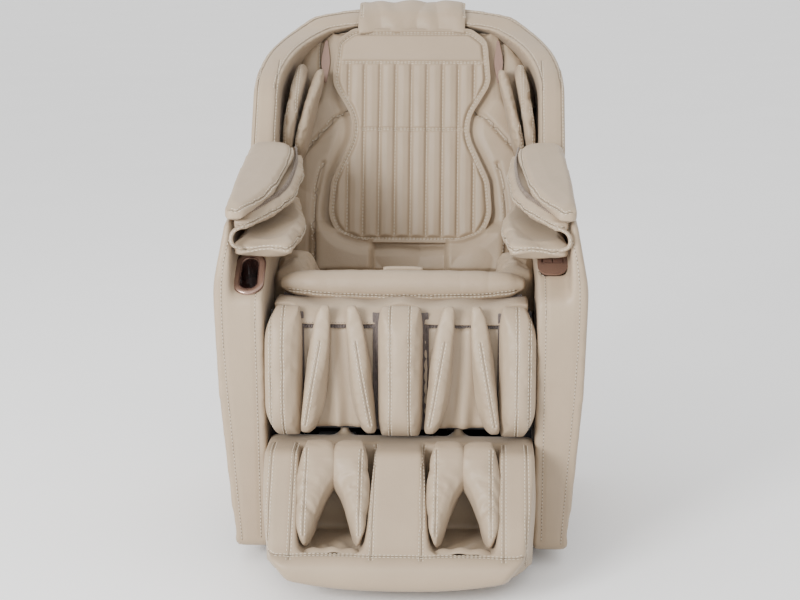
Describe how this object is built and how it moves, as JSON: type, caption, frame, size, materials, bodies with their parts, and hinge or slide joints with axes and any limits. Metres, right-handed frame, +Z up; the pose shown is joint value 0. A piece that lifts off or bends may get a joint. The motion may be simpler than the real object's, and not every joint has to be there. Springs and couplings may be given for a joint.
{
  "type": "massage chair",
  "caption": "Full-body massage chair: reclining padded back with hood, lifting leg rest with calf and foot wells, arms with air pads.",
  "frame": {"origin": "on the floor under the centre of the whole chair", "axes": "+Z up, the chair faces -Y, the sitter's left is +X"},
  "size_m": [0.7672, 1.1985, 1.1516],
  "materials": {
    "leather": "smooth matt synthetic leather, light greige",
    "leather_pad": "soft synthetic leather with fine grain, light greige",
    "cushion_foam": "foam under thin synthetic leather",
    "steel_frame": "black powder coat",
    "zinc_steel": "zinc-plated steel",
    "cover_plastic": "moulded plastic, greige, fine texture",
    "black_plastic": "black moulded plastic",
    "rose_trim": "rose-gold metallic lacquer",
    "roller_rubber": "soft dark rubber",
    "key_cap": "rose-gold lacquered key",
    "inner_board": "moulded liner under synthetic leather"
  },
  "bodies": {
    "base": {"side_panel_left": "leather", "side_panel_right": "leather", "arm_core_left": "inner_board", "arm_core_right": "inner_board", "arm_cap_left": "leather_pad", "arm_cap_right": "leather_pad", "arm_airbag_left": "leather_pad", "arm_airbag_right": "leather_pad", "hand_pad_left": "leather_pad", "hand_pad_right": "leather_pad", "phone_pocket": "rose_trim", "control_plate": "rose_trim", "base_frame": "steel_frame", "base_tray": "black_plastic", "levelling_feet": "black_plastic", "control_box": "black_plastic", "air_pump": "black_plastic", "power_inlet": "black_plastic", "rear_skirt": "cover_plastic", "seat_frame": "steel_frame", "seat_cushion": "cushion_foam", "seat_roll": "leather_pad", "hip_pads": "leather_pad"},
    "recline_key": {"recline_key": "key_cap"},
    "legrest_key": {"legrest_key": "key_cap"},
    "transport_wheels": {"transport_wheels": "roller_rubber"},
    "back": {"hood_shell": "cushion_foam", "rear_cover": "cover_plastic", "back_frame": "steel_frame", "back_upholstery": "leather_pad", "back_pad": "leather_pad", "head_flap": "leather_pad", "shoulder_airbag_left": "leather_pad", "shoulder_airbag_right": "leather_pad", "head_trims": "rose_trim"},
    "carriage": {"carriage_chassis": "black_plastic"},
    "legrest": {"legrest_frame": "steel_frame", "calf_sides": "leather_pad", "calf_divider": "leather_pad", "calf_lining": "leather_pad"},
    "footrest": {"foot_box": "cushion_foam"},
    "foot_rollers": {"foot_roller_shaft": "roller_rubber"},
    "back_actuator": {"back_actuator_tube": "black_plastic"},
    "back_actuator_rod": {"back_actuator_rod": "zinc_steel"},
    "leg_actuator": {"leg_actuator_tube": "black_plastic"},
    "leg_actuator_rod": {"leg_actuator_rod": "zinc_steel"},
    "massage_arm_left": {"massage_arm_left": "zinc_steel"},
    "roller_upper_left": {"roller_upper_left": "roller_rubber"},
    "roller_lower_left": {"roller_lower_left": "roller_rubber"},
    "calf_flap_outer_left": {"calf_flap_outer_left": "leather_pad"},
    "foot_flap_outer_left": {"foot_flap_outer_left": "leather_pad"},
    "calf_flap_inner_left": {"calf_flap_inner_left": "leather_pad"},
    "foot_flap_inner_left": {"foot_flap_inner_left": "leather_pad"},
    "massage_arm_right": {"massage_arm_right": "zinc_steel"},
    "roller_upper_right": {"roller_upper_right": "roller_rubber"},
    "roller_lower_right": {"roller_lower_right": "roller_rubber"},
    "calf_flap_outer_right": {"calf_flap_outer_right": "leather_pad"},
    "foot_flap_outer_right": {"foot_flap_outer_right": "leather_pad"},
    "calf_flap_inner_right": {"calf_flap_inner_right": "leather_pad"},
    "foot_flap_inner_right": {"foot_flap_inner_right": "leather_pad"}
  },
  "joints": [
    {"name": "back_recline", "type": "hinge", "parent": "base", "child": "back", "pos_m": [0, 0.19, 0.45], "axis": [-1, 0, 0], "range_deg": [0, 50]},
    {"name": "legrest_lift", "type": "hinge", "parent": "base", "child": "legrest", "pos_m": [0, -0.29, 0.54], "axis": [-1, 0, 0], "range_deg": [0, 80]},
    {"name": "footrest_extend", "type": "slide", "parent": "legrest", "child": "footrest", "axis": [0, 0, -1], "range_m": [0, 0.12]},
    {"name": "carriage_travel", "type": "slide", "parent": "back", "child": "carriage", "axis": [0, 0.2924, 0.9563], "range_m": [0, 0.24]},
    {"name": "recline_key_press", "type": "slide", "parent": "base", "child": "recline_key", "axis": [0, 0.6022, -0.7983], "range_m": [0, 0.002], "stiffness_N_per_m": 900},
    {"name": "legrest_key_press", "type": "slide", "parent": "base", "child": "legrest_key", "axis": [0, 0.6022, -0.7983], "range_m": [0, 0.002], "stiffness_N_per_m": 900},
    {"name": "transport_wheel_spin", "type": "hinge", "parent": "base", "child": "transport_wheels", "pos_m": [0, 0.33, 0.034], "axis": [1, 0, 0], "continuous": true},
    {"name": "foot_roller_spin", "type": "hinge", "parent": "footrest", "child": "foot_rollers", "pos_m": [0, -0.455, 0.072], "axis": [1, 0, 0], "continuous": true},
    {"name": "massage_arm_left_tap", "type": "hinge", "parent": "carriage", "child": "massage_arm_left", "pos_m": [0.078, 0.29122, 0.66479], "axis": [-1, 0, 0], "range_deg": [-7, 7]},
    {"name": "massage_arm_right_tap", "type": "hinge", "parent": "carriage", "child": "massage_arm_right", "pos_m": [-0.078, 0.29122, 0.66479], "axis": [-1, 0, 0], "range_deg": [-7, 7]},
    {"name": "back_actuator_swing", "type": "hinge", "parent": "base", "child": "back_actuator", "pos_m": [0.07, 0.25, 0.112], "axis": [-1, 0, 0], "range_deg": [-10, 0]},
    {"name": "back_actuator_stroke", "type": "slide", "parent": "back_actuator", "child": "back_actuator_rod", "axis": [0, -0.2797, 0.9601], "range_m": [0, 0.06458]},
    {"name": "leg_actuator_swing", "type": "hinge", "parent": "base", "child": "leg_actuator", "pos_m": [-0.07, -0.02, 0.15], "axis": [-1, 0, 0], "range_deg": [-8.56, 0]},
    {"name": "leg_actuator_stroke", "type": "slide", "parent": "leg_actuator", "child": "leg_actuator_rod", "axis": [0, -0.676, 0.7369], "range_m": [0, 0.148]},
    {"name": "roller_upper_left_spin", "type": "hinge", "parent": "massage_arm_left", "child": "roller_upper_left", "pos_m": [0.103, 0.28831, 0.73051], "axis": [1, 0, 0], "continuous": true},
    {"name": "roller_lower_left_spin", "type": "hinge", "parent": "massage_arm_left", "child": "roller_lower_left", "pos_m": [0.103, 0.25206, 0.61193], "axis": [1, 0, 0], "continuous": true},
    {"name": "roller_upper_right_spin", "type": "hinge", "parent": "massage_arm_right", "child": "roller_upper_right", "pos_m": [-0.103, 0.28831, 0.73051], "axis": [1, 0, 0], "continuous": true},
    {"name": "roller_lower_right_spin", "type": "hinge", "parent": "massage_arm_right", "child": "roller_lower_right", "pos_m": [-0.103, 0.25206, 0.61193], "axis": [1, 0, 0], "continuous": true},
    {"name": "calf_flap_outer_left_squeeze", "type": "hinge", "parent": "legrest", "child": "calf_flap_outer_left", "pos_m": [0.176, -0.345, 0.4305], "axis": [0.1736, 0, -0.9848], "range_deg": [0, 10]},
    {"name": "calf_flap_inner_left_squeeze", "type": "hinge", "parent": "legrest", "child": "calf_flap_inner_left", "pos_m": [0.08, -0.345, 0.4305], "axis": [0.1736, 0, 0.9848], "range_deg": [0, 10]},
    {"name": "calf_flap_outer_right_squeeze", "type": "hinge", "parent": "legrest", "child": "calf_flap_outer_right", "pos_m": [-0.176, -0.345, 0.4305], "axis": [0.1736, 0, 0.9848], "range_deg": [0, 10]},
    {"name": "calf_flap_inner_right_squeeze", "type": "hinge", "parent": "legrest", "child": "calf_flap_inner_right", "pos_m": [-0.08, -0.345, 0.4305], "axis": [0.1736, 0, -0.9848], "range_deg": [0, 10]},
    {"name": "foot_flap_outer_left_squeeze", "type": "hinge", "parent": "footrest", "child": "foot_flap_outer_left", "pos_m": [0.183, -0.387, 0.2], "axis": [0, 0, -1], "range_deg": [0, 9]},
    {"name": "foot_flap_inner_left_squeeze", "type": "hinge", "parent": "footrest", "child": "foot_flap_inner_left", "pos_m": [0.082, -0.387, 0.2], "axis": [0, 0, 1], "range_deg": [0, 9]},
    {"name": "foot_flap_outer_right_squeeze", "type": "hinge", "parent": "footrest", "child": "foot_flap_outer_right", "pos_m": [-0.183, -0.387, 0.2], "axis": [0, 0, 1], "range_deg": [0, 9]},
    {"name": "foot_flap_inner_right_squeeze", "type": "hinge", "parent": "footrest", "child": "foot_flap_inner_right", "pos_m": [-0.082, -0.387, 0.2], "axis": [0, 0, -1], "range_deg": [0, 9]}
  ],
  "couplings": [
    {"joint": "footrest_extend", "follows": "legrest_lift", "m_per_rad": 0.085944},
    {"joint": "back_actuator_swing", "follows": "back_recline", "ratio": -0.2},
    {"joint": "back_actuator_stroke", "follows": "back_recline", "m_per_rad": 0.074},
    {"joint": "leg_actuator_swing", "follows": "legrest_lift", "ratio": -0.107},
    {"joint": "leg_actuator_stroke", "follows": "legrest_lift", "m_per_rad": 0.106},
    {"joint": "massage_arm_right_tap", "follows": "massage_arm_left_tap", "ratio": -1},
    {"joint": "calf_flap_inner_left_squeeze", "follows": "calf_flap_outer_left_squeeze", "ratio": 1},
    {"joint": "calf_flap_outer_right_squeeze", "follows": "calf_flap_outer_left_squeeze", "ratio": 1},
    {"joint": "calf_flap_inner_right_squeeze", "follows": "calf_flap_outer_left_squeeze", "ratio": 1},
    {"joint": "foot_flap_inner_left_squeeze", "follows": "foot_flap_outer_left_squeeze", "ratio": 1},
    {"joint": "foot_flap_outer_right_squeeze", "follows": "foot_flap_outer_left_squeeze", "ratio": 1},
    {"joint": "foot_flap_inner_right_squeeze", "follows": "foot_flap_outer_left_squeeze", "ratio": 1}
  ]
}
